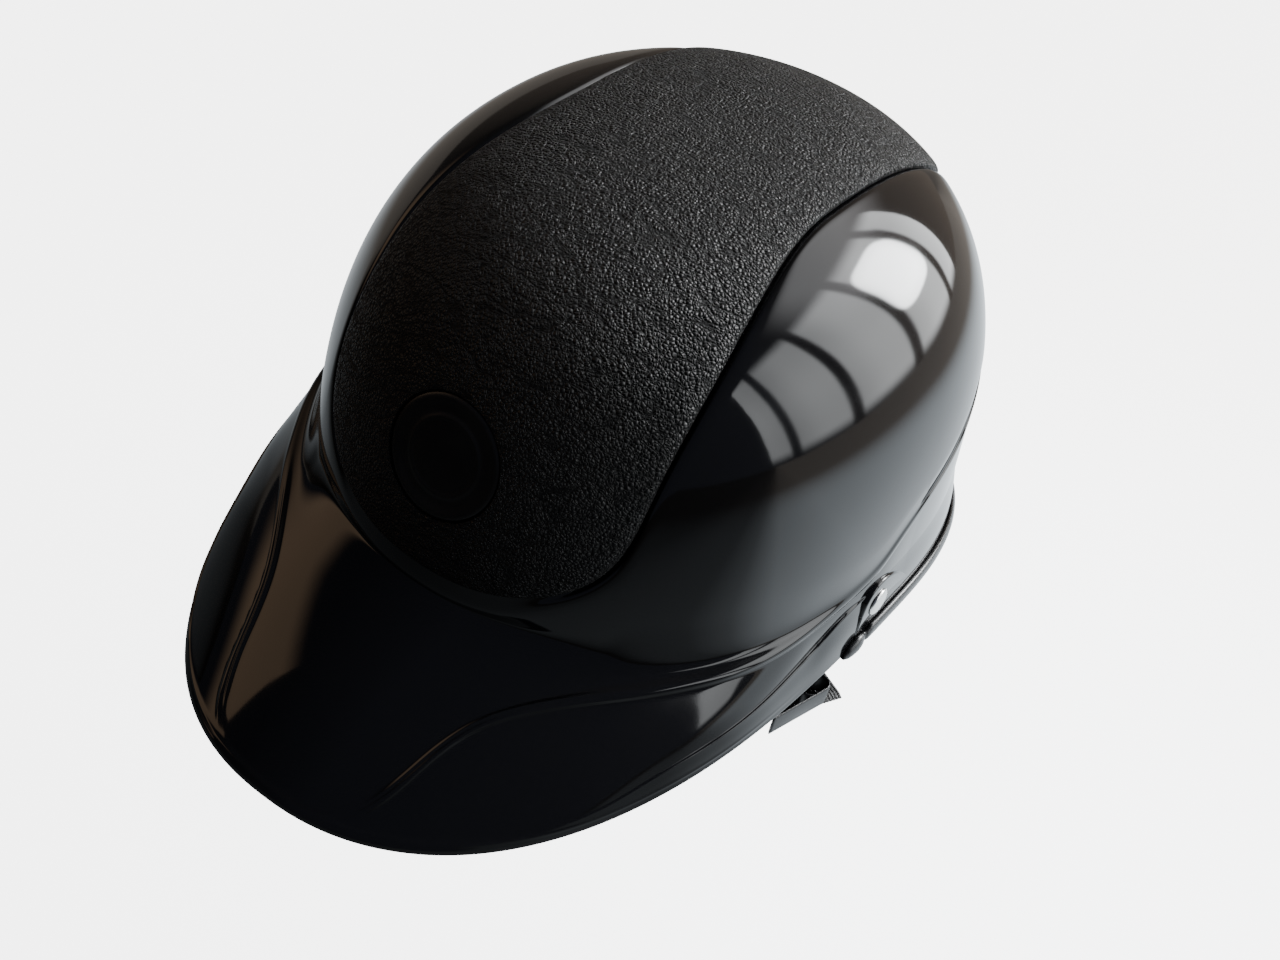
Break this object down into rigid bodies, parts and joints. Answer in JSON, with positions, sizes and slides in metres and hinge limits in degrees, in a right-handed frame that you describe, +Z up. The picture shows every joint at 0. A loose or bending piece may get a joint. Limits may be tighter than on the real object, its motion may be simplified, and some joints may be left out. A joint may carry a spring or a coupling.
{
  "type": "motorcycle half helmet",
  "caption": "Open half-shell helmet with a built-in peak, a grained crown panel, a padded foam liner and a two-part chin strap with a side-release buckle.",
  "frame": {"origin": "middle of the outline seen from above, on the surface that the front lip and the rear rim rest on", "axes": "+Z up through the crown, -Y towards the peak's lip, +X towards the wearer's left"},
  "size_m": [0.2146, 0.3246, 0.1573],
  "materials": {
    "gloss_shell": "high gloss lacquer",
    "grained_panel": "pebble-grained",
    "matte_disc": "matte",
    "trim_rubber": "smooth, slightly shiny",
    "foam": "moulded bead foam",
    "pad_cloth": "brushed knit",
    "webbing": "ribbed weave",
    "steel": "polished",
    "buckle_plastic": "satin moulded"
  },
  "bodies": {
    "helmet": {"outer_shell": "gloss_shell", "crown_panel": "grained_panel", "emblem_dish": "matte_disc", "edge_trim": "trim_rubber", "foam_liner": "foam", "crown_pad": "pad_cloth", "brow_pad": "pad_cloth", "left_side_pad": "pad_cloth", "right_side_pad": "pad_cloth", "nape_pad": "pad_cloth", "pad_dots": "matte_disc", "left_rivet": "steel", "right_rivet": "steel", "left_washer": "steel", "right_washer": "steel"},
    "left_strap": {"left_eyelet": "steel", "left_webbing": "webbing", "strap_adjuster": "buckle_plastic", "keeper_loop": "webbing", "buckle_plug": "buckle_plastic"},
    "prong_inner": {"buckle_prong_inner": "buckle_plastic"},
    "prong_outer": {"buckle_prong_outer": "buckle_plastic"},
    "right_strap": {"right_eyelet": "steel", "right_webbing": "webbing", "buckle_socket": "buckle_plastic"}
  },
  "joints": [
    {"name": "left_strap_swing", "type": "hinge", "parent": "helmet", "child": "left_strap", "pos_m": [0.0957, 0.01022, 0.035], "axis": [1, 0, 0], "range_deg": [0, 70]},
    {"name": "right_strap_swing", "type": "hinge", "parent": "helmet", "child": "right_strap", "pos_m": [-0.0957, 0.01022, 0.035], "axis": [1, 0, 0], "range_deg": [0, 70]},
    {"name": "prong_inner_flex", "type": "hinge", "parent": "left_strap", "child": "prong_inner", "pos_m": [0.04647, -0.08194, 0.0036], "axis": [0, 0, 1], "range_deg": [0, 7], "stiffness_Nm_per_rad": 0.6},
    {"name": "prong_outer_flex", "type": "hinge", "parent": "left_strap", "child": "prong_outer", "pos_m": [0.06517, -0.09106, 0.0036], "axis": [0, 0, -1], "range_deg": [0, 7], "stiffness_Nm_per_rad": 0.6}
  ]
}
